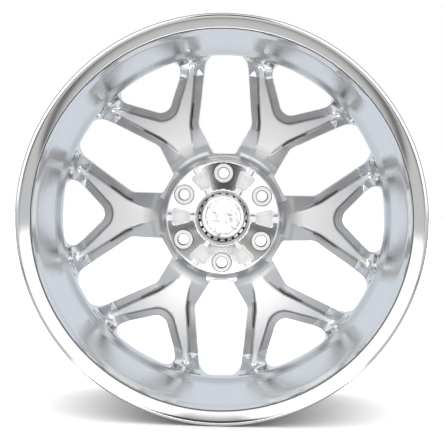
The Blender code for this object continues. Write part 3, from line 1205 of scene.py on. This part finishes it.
    def skin(self, plan: np.ndarray, triangles: np.ndarray) -> np.ndarray:
        """Faces of one twelfth: its back, its front and the walls between them.

        Args:
            plan: plan points. The back's vertices come first and the front's after them.
            triangles: the plan's triangles.

        Returns:
            Triangles, open on the twelfth's two straight sides.
        """
        ends = np.concatenate([triangles[:, [0, 1]], triangles[:, [1, 2]], triangles[:, [2, 0]]])
        keys, count = np.unique(np.sort(ends), axis=0, return_counts=True)
        rim = keys[count == 1]
        middle = plan[rim].mean(1)
        on_side = np.abs(middle @ self.SPOKE_SIDE) < 0.02
        on_side |= np.abs(middle @ self.WINDOW_SIDE) < 0.02
        near, far = rim[~on_side].T
        size = len(plan)
        low = np.stack([near, far, far + size], axis=1)
        high = np.stack([near, far + size, near + size], axis=1)
        return np.concatenate([triangles, triangles[:, ::-1] + size, low, high])

    def build(self) -> None:
        """Gives the plan its surfaces, repeats it round the wheel and closes it."""
        plan, triangles = self.plan()
        LOG.info("plan: %d points, %d triangles", len(plan), len(triangles))
        at = self.measures(plan)
        back, *shares = self.back(at)
        front = np.maximum(self.front(at), back + 0.5)
        faces = self.skin(plan, triangles)
        points, all_faces = [], []
        for turn in range(6):
            for flip in (1.0, -1.0):
                across, up = self.turned_plan(plan * [flip, 1.0], turn * math.pi / 3).T
                all_faces.append(faces + len(points) * len(plan))
                for depth in (back, front):
                    y = CAD_BOX[0][1] + depth * MM
                    points.append(np.stack([up * MM, y, across * MM], axis=1))
        mesh = (np.concatenate(points).tolist(), [], np.concatenate(all_faces).tolist())
        piece = new_piece("centre", *mesh)
        # the last attribute marks painted shade
        for name, share in zip(("rib_top", "satin", "painted_shade_mark"), shares):
            mark(piece, name, np.tile(np.concatenate([share, np.zeros_like(share)]), 12))
        clean(piece, 40.0)
        mount(piece, Body.WHEEL, FORGING, "wheel_centre")


# ---------------------------------------------------------------- nut seats


@dataclass
class NutSeats:
    """Six steel inserts that the wheel nuts clamp on."""

    count: int = 6
    circle: float = 69.85
    bore: float = 8.4

    def outline(self, pad: float) -> list[Point]:
        """The section of one insert.

        Args:
            pad: the depth of its inboard face.

        Returns:
            (radius, depth) points.
        """
        corners = [
            (self.bore, pad + 1.0, 0.0),
            (self.bore + 0.8, pad, 0.0),
            (self.bore + 1.2, pad, 0.0),
            (14.6, pad, 0.3),
            (14.8, pad + 1.0, 0.2),
            (14.8, pad + 3.1, 0.2),
            (12.5, pad + 3.1, 0.2),
            (12.5, 146.0, 0.3),
            (12.1, 146.0, 0.2),
            (self.bore, 139.8, 0.6),
        ]
        return rounded(corners, 20.0)

    def build(self) -> None:
        """Turns one insert for each hole."""
        for i in range(self.count):
            node = f"lug_seat_insert_{i + 1}"
            low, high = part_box(node)
            middle = (low + high) / 2
            place = Matrix.Translation((middle.x, CAD_BOX[0][1], middle.z))
            pad = depth_of(node)
            insert = turned(f"nut_seat_{i + 1}", self.outline(pad), 72, place)
            at = np.array([vertex.co for vertex in insert.data.vertices])
            out = np.hypot(at[:, 0] - middle.x, at[:, 2] - middle.z)
            # painted shade: the mouth of each insert's bore is marked black
            at_mouth = (out < (self.bore + 1.0) * MM) & (at[:, 1] < axial(pad + 1.2))
            mark(insert, "painted_shade_mark", at_mouth)
            mount(insert, Body.WHEEL, SEAT_STEEL, node)


# ---------------------------------------------------------------- centre cap


@dataclass
class CentreCap:
    """The snap-in cap: a dished shell with spring fingers, a blank disc, a wire ring and a seal."""

    fingers: int = 20
    finger_radius: float = 36.4
    steps: int = 180
    plate_radius: float = 33.0
    ripple_mm: float = 0.48

    def shell(self) -> bpy.types.Object:
        """Turns the shell and saws the slots between its fingers."""
        corners = [
            (0.0, 170.4, 0.0),
            (27.5, 170.4, 1.0),
            (28.3, 171.0, 0.6),
            (33.4, 171.0, 1.5),
            (35.3, 168.6, 1.5),
            (35.4, 152.0, 1.0),
            (35.2, 148.5, 0.3),
            (38.0, 148.1, 0.4),
            (38.6, 151.0, 0.4),
            (37.6, 154.5, 0.6),
            (37.6, 175.2, 0.5),
            (42.6, 175.2, 0.3),
            (43.4, 174.0, 0.3),
            (45.6, 174.0, 0.4),
            (46.0, 176.2, 0.8),
            (38.5, 181.6, 8.0),
            (31.2, 183.6, 0.4),
            (30.8, 182.4, 0.2),
            (0.0, 182.4, 0.0),
        ]
        outline = resampled(rounded(corners, 12.0), 2.4, closed=True)
        shell = turned("cap_shell_fine", outline, self.steps)
        self.ripple(shell)
        saws = []
        for i in range(self.fingers):
            angle = math.tau * (i + 0.5) / self.fingers
            middle = Vector((math.cos(angle), 0.0, -math.sin(angle))) * self.finger_radius * MM
            deselect()
            place = middle + Vector((0, axial(156.0), 0))
            bpy.ops.mesh.primitive_cube_add(size=1.0, location=place)
            saw = bpy.context.object
            saw.scale = (0.009, 0.026, 0.0042)
            saw.rotation_euler = (0, angle, 0)
            bpy.ops.object.transform_apply(location=True, rotation=True, scale=True)
            saws.append(saw)
        deselect()
        for saw in saws:
            saw.select_set(True)
        bpy.context.view_layer.objects.active = saws[0]
        bpy.ops.object.join()
        carve(shell, saws[0])
        return clean(shell, 25.0)

    def ripple(self, shell: bpy.types.Object) -> None:
        """Gives the plated back its slight unevenness, as moulded plates have."""
        for vertex in shell.data.vertices:
            x, _, z = vertex.co / MM
            radius = math.hypot(x, z)
            if radius < self.plate_radius and vertex.co.y < axial(172.0):
                broad = noise.noise(Vector((x, 0.0, z)) * 0.085)
                fine = noise.noise(Vector((z, 9.0, x)) * 0.19)
                fade = min(1.0, (self.plate_radius - radius) / 4.0)
                vertex.co.y += (broad + fine / 2) * self.ripple_mm * fade * MM

    def build(self) -> None:
        """Makes the four pieces."""
        mount(self.shell(), Body.CENTRE_CAP, CAP_CHROME, "cap_shell")
        disc = [(0.0, 182.7, 0.0), (30.0, 182.7, 0.3), (30.0, 183.6, 0.5), (28.5, 184.2, 1.0)]
        disc += [(27.0, 183.9, 0.5), (20.0, 184.4, 4.0), (0.0, 184.9, 0.0)]
        plate = turned("emblem_disc", rounded(disc, 15.0), 128)
        mount(plate, Body.CENTRE_CAP, EMBLEM, "cap_emblem_disc")
        for name, radius, wire, depth, finish, node in (
            ("finger_ring", 34.2, 0.8, 159.0, SPRING, "cap_spring_ring"),
            ("cap_seal", 41.6, 0.9, 173.9, RUBBER, "cap_seal_ring"),
        ):
            circle = [
                (radius + wire * math.cos(a), depth + wire * math.sin(a))
                for a in np.linspace(0, math.tau, 14, endpoint=False)
            ]
            mount(turned(name, circle, 128), Body.CENTRE_CAP, finish, node)


# ---------------------------------------------------------------- valve


@dataclass
class Valve:
    """The clamp-in tyre valve, on its own axis through the rim wall."""

    steps: int = 64

    @staticmethod
    def place() -> Matrix:
        """From the valve's own Y axis, with its origin on the outside of the rim wall."""
        along = next(Vector(j["axis"]) for j in frame["joints"] if j["name"] == "dust_cap_off")
        along.normalize()
        low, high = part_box("valve_washer")
        middle = (low + high) / 2
        origin = middle - along * 3.3 * MM
        outwards = Vector((along.x, 0, along.z)).normalized()
        across = (outwards - along * outwards.dot(along)).normalized()
        side = across.cross(along)
        basis = Matrix((across, along, side)).transposed().to_4x4()
        return Matrix.Translation(origin) @ basis

    def piece(
        self, name: str, corners: Sequence[Corner], body: Body, finish: Finish, node: str
    ) -> None:
        """Turns one piece of the valve and mounts it."""
        made = turned(name, rounded(corners, 20.0), self.steps, self.place())
        mount(made, body, finish, node)

    @staticmethod
    def thread(outer: float, inner: float, low: float, high: float, pitch: float) -> list[Corner]:
        """Corners of a threaded stretch, as rings of one pitch."""
        corners: list[Corner] = []
        count = int((high - low) / pitch)
        for i in range(count):
            corners += [(outer, low + i * pitch, 0.0), (inner, low + (i + 0.5) * pitch, 0.0)]
        return corners

    def build(self) -> None:
        """Makes the valve's pieces."""
        stem = [(8.2, -10.5, 0.6), (8.2, -8.1, 0.3), (5.3, -8.1, 0.2)]
        stem += self.thread(5.3, 4.8, -4.0, 9.2, 0.8)
        stem += [(5.2, 9.4, 0.2), (3.9, 10.6, 0.2)] + self.thread(3.9, 3.5, 14.0, 29.6, 0.8)
        stem += [(3.5, 30.0, 0.1), (2.7, 30.0, 0.1), (2.7, 12.4, 0.2), (1.6, 11.4, 0.2)]
        stem += [(1.6, -10.5, 0.2)]
        self.piece("stem", stem, Body.WHEEL, VALVE_CHROME, "valve_stem")
        inner = [(5.7, -7.8, 0.3), (8.1, -7.8, 0.5), (8.4, -6.6, 0.8), (8.1, -5.3, 0.4)]
        inner += [(5.7, -5.3, 0.2)]
        self.piece("inner_grommet", inner, Body.WHEEL, RUBBER, "valve_inner_grommet")
        outer = [(5.7, 0.3, 0.2), (8.2, 0.3, 0.4), (8.4, 1.4, 0.8), (8.1, 2.5, 0.4)]
        outer += [(5.7, 2.5, 0.2)]
        self.piece("outer_grommet", outer, Body.WHEEL, RUBBER, "valve_outer_grommet")
        washer = [(5.7, 2.8, 0.1), (8.0, 2.8, 0.2), (8.0, 3.8, 0.2), (5.7, 3.8, 0.1)]
        self.piece("washer", washer, Body.WHEEL, SEAT_STEEL, "valve_washer")
        core = [(2.4, 16.0, 0.2), (2.4, 29.0, 0.2), (1.75, 29.0, 0.1), (1.75, 18.2, 0.1)]
        core += [(0.9, 18.2, 0.1), (0.9, 16.0, 0.1)]
        self.piece("core_sleeve", core, Body.WHEEL, BRASS, "valve_core_body")
        pin = [(0.0, 13.0, 0.0), (1.5, 13.0, 0.2), (1.5, 13.9, 0.2), (0.5, 13.9, 0.1)]
        pin += [(0.5, 26.5, 0.1), (1.5, 26.5, 0.1), (1.5, 27.1, 0.1), (0.5, 27.1, 0.1)]
        pin += [(0.5, 29.4, 0.2), (0.0, 29.6, 0.0)]
        self.piece("core_pin", pin, Body.VALVE_PIN, BRASS, "valve_core_pin")
        plunger = [(0.75, 14.15, 0.1), (1.9, 14.15, 0.3), (1.9, 15.5, 0.3), (0.75, 15.5, 0.1)]
        self.piece("plunger_seal", plunger, Body.VALVE_PIN, RUBBER, "valve_plunger_seal")
        gasket = [(1.6, 30.3, 0.2), (3.9, 30.3, 0.3), (3.9, 31.5, 0.3), (1.6, 31.5, 0.2)]
        self.piece("cap_gasket", gasket, Body.DUST_CAP, RUBBER, "dust_cap_gasket")
        self.nut()
        self.dust_cap()
        self.spring()

    def nut(self) -> None:
        """A hexagon nut with chamfered corners and a round bore."""
        deselect()
        bpy.ops.mesh.primitive_cylinder_add(
            vertices=6, radius=8.25 * MM, depth=4.5 * MM, rotation=(math.pi / 2, 0, 0)
        )
        nut = bpy.context.object
        nut.name = nut.data.name = "stem_nut"
        bpy.ops.object.transform_apply(location=True, rotation=True, scale=True)
        bore = turned("bore", [(0, -9), (5.7, -9), (5.7, 9), (0, 9)], 48, Matrix.Identity(4))
        carve(nut, bore)
        take(nut)
        edge = nut.modifiers.new("edge", "BEVEL")
        edge.width, edge.segments, edge.limit_method = 0.35 * MM, 2, "ANGLE"
        bpy.ops.object.modifier_apply(modifier=edge.name)
        nut.data.transform(self.place() @ Matrix.Translation((0, 6.35 * MM, 0)))
        clean(nut, 20.0)
        mount(nut, Body.WHEEL, VALVE_CHROME, "valve_nut")

    def dust_cap(self) -> None:
        """A knurled dust cap: a turned cup whose side has grooves pressed in."""
        cup = [(4.2, 18.0, 0.2), (5.3, 18.0, 0.2), (5.3, 32.2, 0.8), (4.4, 33.6, 0.8)]
        cup += [(0.0, 33.8, 0.0)]
        cup += [(0.0, 31.8, 0.0), (4.2, 31.8, 0.2)]
        fine = resampled(rounded(cup, 20.0), 1.2, closed=True)
        made = turned("dust_cap_fine", fine, 72, Matrix.Identity(4))
        for vertex in made.data.vertices:
            radius = math.hypot(vertex.co.x, vertex.co.z)
            on_grip = radius > 5.2 * MM and 19.5 * MM < vertex.co.y < 30.5 * MM
            turn = round(math.atan2(vertex.co.z, vertex.co.x) / (math.tau / 72))
            if on_grip and turn % 3 == 0:
                vertex.co.x *= 0.94
                vertex.co.z *= 0.94
        made.data.transform(self.place())
        mount(made, Body.DUST_CAP, VALVE_CHROME, "valve_dust_cap")

    def spring(self) -> None:
        """The pin's return coil, drawn as a wire along a helix."""
        turns, per_turn, radius, low, high = 4, 16, 1.15, 20.5, 26.1
        curve = bpy.data.curves.new("pin_spring", "CURVE")
        curve.dimensions = "3D"
        curve.bevel_depth = 0.2 * MM
        curve.bevel_resolution = 2
        curve.use_fill_caps = True
        spline = curve.splines.new("POLY")
        spline.points.add(turns * per_turn)
        place = self.place()
        for i, point in enumerate(spline.points):
            angle = math.tau * i / per_turn
            height = low + (high - low) * i / (turns * per_turn)
            spot = Vector((radius * math.cos(angle), height, radius * math.sin(angle))) * MM
            point.co = (*(place @ spot), 1.0)
        wire = bpy.data.objects.new("pin_spring", curve)
        bpy.context.scene.collection.objects.link(wire)
        take(wire)
        bpy.ops.object.convert(target="MESH")
        coil = bpy.context.object
        mount(clean(coil), Body.VALVE_PIN, SPRING, "valve_core_spring")


# ---------------------------------------------------------------- studio


def unscattered(shader: Shader) -> Wire:
    """Nearly 0 for light that metal throws on to the floor, so that the shadow stays dark."""
    bounces = shader.add("ShaderNodeLightPath", output="Diffuse Depth")
    return 1.0 - bounces.over(0.0, 1.0) * 0.93


@dataclass(frozen=True)
class MirroredRoom:
    """The room as polished metal mirrors it. Its spans and hills are angles in degrees.

    Two large soft boxes stand left and right behind the camera, with a grey gap between them.
    The room is dark below the table's edge, and pale and cool behind the wheel.
    """

    box_tone: float = 1.3
    horizon: Span = (-1.5, 1.5)
    gap_sides: Span = (7.0, 13.0)
    gap_heights: Span = (36.0, 54.0)
    gap_drop: float = 1.23
    ceiling: Span = (68.0, 78.0)
    ceiling_drop: float = 0.95
    low_tone: float = 0.58
    patch_side: Span = (21.0, 12.0)
    patch_height: Span = (-12.0, 10.0)
    patch_drop: float = 0.54
    foot: Span = (-66.0, -52.0)
    foot_rise: float = 0.34
    facing: Span = (4.0, 15.0)
    flank: Span = (76.0, 90.0)
    flank_tone: float = 0.40
    behind: Span = (118.0, 136.0)
    behind_tone: float = 0.74
    door: tuple[Span, Span] = ((116.0, 15.0), (37.0, 13.0))
    corners: tuple[Span, Span] = ((114.0, 9.0), (-28.0, 8.0))
    shade_drop: float = 0.95
    front_tint: Colour = (1.0, 0.995, 0.985)
    cool_tint: Colour = (0.93, 0.97, 1.03)
    cool_from: Span = (80.0, 110.0)
    warm_tint: Colour = (1.0, 0.975, 0.94)
    warm_below: Span = (-62.0, -30.0)

    def inputs(self, shader: Shader, direction: Wire) -> dict[str, Wire]:
        """Wires the room up.

        Args:
            shader: the world's tree.
            direction: the direction looked in.

        Returns:
            The inputs of a Background node.
        """
        x, y, z = shader.split(direction)
        height = z.math("ARCSINE") * math.degrees(1.0)
        right = x.math("ARCTAN2", y * -1.0) * math.degrees(1.0)
        side = right.math("ABSOLUTE")
        away = (y * -1.0).math("ARCCOSINE") * math.degrees(1.0)
        gap = (1.0 - side.over(*self.gap_sides)) * (1.0 - height.over(*self.gap_heights))
        above = self.box_tone - gap * self.gap_drop
        above = above - height.over(*self.ceiling) * self.ceiling_drop
        patch = side.hill(*self.patch_side) * height.hill(*self.patch_height)
        below = self.low_tone - patch * self.patch_drop
        below = below + (1.0 - height.over(*self.foot)) * self.foot_rise
        tone = below + (above - below) * height.over(*self.horizon)
        tone = tone + (self.box_tone - tone) * (1.0 - away.over(*self.facing))
        tone = tone + (self.flank_tone - tone) * away.over(*self.flank)
        tone = tone + (self.behind_tone - tone) * away.over(*self.behind)
        dark = right.hill(*self.door[0]) * height.hill(*self.door[1])
        dark = dark + side.hill(*self.corners[0]) * height.hill(*self.corners[1])
        tone = tone * (1.0 - dark * self.shade_drop)
        tint = shader.blend(away.over(*self.cool_from), self.front_tint, self.cool_tint)
        tint = shader.blend(1.0 - height.over(*self.warm_below), tint, self.warm_tint)
        return {"Color": tint, "Strength": tone * unscattered(shader)}


@dataclass
class Studio:
    """Pale floor, soft light and the camera behind the wheel."""

    distance: float = 1623.7
    aim: tuple[float, float] = (0.935, 6.39)
    yaw_deg: float = 0.924
    pitch_deg: float = 2.758
    roll_deg: float = 1.25
    lens_mm: float = 84.45
    floor_size: float = 14.0
    floor_light: float = 1.9
    fill_light: float = 0.95
    table_start: float = 0.22
    table_end: float = 1.3
    table_width: float = 3.6
    bright_depths: Span = (-0.52, -0.30)
    bright_sides: Span = (0.32, 0.22)
    bright_colour: Colour = (5.2, 5.18, 5.12)
    dim_band: Span = (-0.80, 0.11)
    dim_colour: Colour = (0.17, 0.16, 0.145)
    pale_colour: Colour = (0.60, 0.585, 0.56)
    ray_kinds: tuple[str, ...] = ("Is Camera Ray", "Is Diffuse Ray")

    def camera(self) -> None:
        """Places the camera so that the hub pad's middle lies just above the view's middle."""
        data = bpy.data.cameras.new("camera")
        data.lens = self.lens_mm
        data.sensor_width = 36.0
        camera = bpy.data.objects.new("camera", data)
        bpy.context.scene.collection.objects.link(camera)
        turn = (
            Matrix.Rotation(math.radians(self.yaw_deg), 4, "Z")
            @ Matrix.Rotation(math.radians(90.0 - self.pitch_deg), 4, "X")
            @ Matrix.Rotation(math.radians(self.roll_deg), 4, "Z")
        )
        pad = Vector((0.0, axial(depth_of("wheel_centre")), 0.0))
        across, up = self.aim
        offset = turn.to_3x3() @ Vector((across, up, -self.distance)) * MM
        camera.matrix_world = Matrix.Translation(pad - offset) @ turn
        bpy.context.scene.camera = camera

    def floor(self) -> None:
        """A large pale floor under the wheel."""
        deselect()
        bpy.ops.mesh.primitive_plane_add(size=self.floor_size, location=(0, 0, FLOOR_Z))
        floor = bpy.context.object
        floor.name = "floor"
        material, shader = new_material("pale_floor")
        inputs = {"Base Color": (0.92, 0.92, 0.92, 1.0), "Roughness": 0.9}
        principled = shader.add("ShaderNodeBsdfPrincipled", inputs=inputs)
        shader.add("ShaderNodeOutputMaterial", inputs={"Surface": principled})
        floor.data.materials.append(material)
        floor.visible_glossy = False
        self.table_glow()

    def table_glow(self) -> None:
        """A card that only polished metal sees: the table in front of the wheel.

        It is bright in front of the wheel's middle, dim further out and pale elsewhere.
        """
        depth = self.table_end - self.table_start
        deselect()
        middle = -(self.table_start + self.table_end) / 2
        bpy.ops.mesh.primitive_plane_add(size=1.0, location=(0, middle, FLOOR_Z))
        card = bpy.context.object
        card.name = "table_glow"
        card.scale = (self.table_width, depth, 1.0)
        bpy.ops.object.transform_apply(location=True, rotation=True, scale=True)
        material, shader = new_material("lit_table")
        x, y, _ = shader.split(shader.place())
        bright = y.over(*self.bright_depths) * x.math("ABSOLUTE").over(*self.bright_sides)
        colour = shader.blend(y.hill(*self.dim_band), self.pale_colour, self.dim_colour)
        colour = shader.blend(bright, colour, self.bright_colour)
        light = {"Color": colour, "Strength": unscattered(shader)}
        glow = shader.add("ShaderNodeEmission", inputs=light)
        shader.add("ShaderNodeOutputMaterial", inputs={"Surface": glow})
        card.data.materials.append(material)
        card.visible_camera = card.visible_diffuse = card.visible_shadow = False

    def world(self) -> None:
        """A white room: darker overhead and at the sides, as the polished metal mirrors it."""
        world = bpy.data.worlds.new("studio")
        bpy.context.scene.world = world
        world.use_nodes = True
        shader = Shader(world.node_tree)
        direction = shader.add("ShaderNodeTexCoord", output="Generated")
        room = MirroredRoom().inputs(shader, direction)
        mirrored = shader.add("ShaderNodeBackground", inputs=room)
        _, _, rise = shader.split(direction)
        strength = rise * self.floor_light + self.fill_light
        lit = shader.add("ShaderNodeBackground", inputs={"Strength": strength})
        plain = shader.add("ShaderNodeBackground", inputs={"Strength": 1.0})
        rays = {name: shader.add("ShaderNodeLightPath", output=name) for name in self.ray_kinds}
        mixed = self.mixed(shader, rays["Is Diffuse Ray"], mirrored, lit)
        mixed = self.mixed(shader, rays["Is Camera Ray"], mixed, plain)
        shader.add("ShaderNodeOutputWorld", inputs={"Surface": mixed})
        for node in (lit, plain):
            node.socket.node.inputs["Color"].default_value = (1.0, 1.0, 1.0, 1.0)

    @staticmethod
    def mixed(shader: Shader, factor: Wire, low: Wire, high: Wire) -> Wire:
        """Mixes two shaders."""
        node = shader.tree.nodes.new("ShaderNodeMixShader")
        shader.tree.links.new(factor.socket, node.inputs[0])
        shader.tree.links.new(low.socket, node.inputs[1])
        shader.tree.links.new(high.socket, node.inputs[2])
        return Wire(shader.tree, node.outputs[0])

    def build(self) -> None:
        """Sets up the whole studio."""
        self.camera()
        self.floor()
        self.world()
        bpy.context.scene.view_settings.view_transform = "Standard"


def main() -> None:
    """Builds every sub-assembly, then the studio."""
    logging.basicConfig(level=logging.INFO, format="%(name)s: %(message)s")
    Studio().build()
    for assembly in (Barrel(), Centre(), NutSeats(), CentreCap(), Valve()):
        assembly.build()


if __name__ == "__main__":
    main()
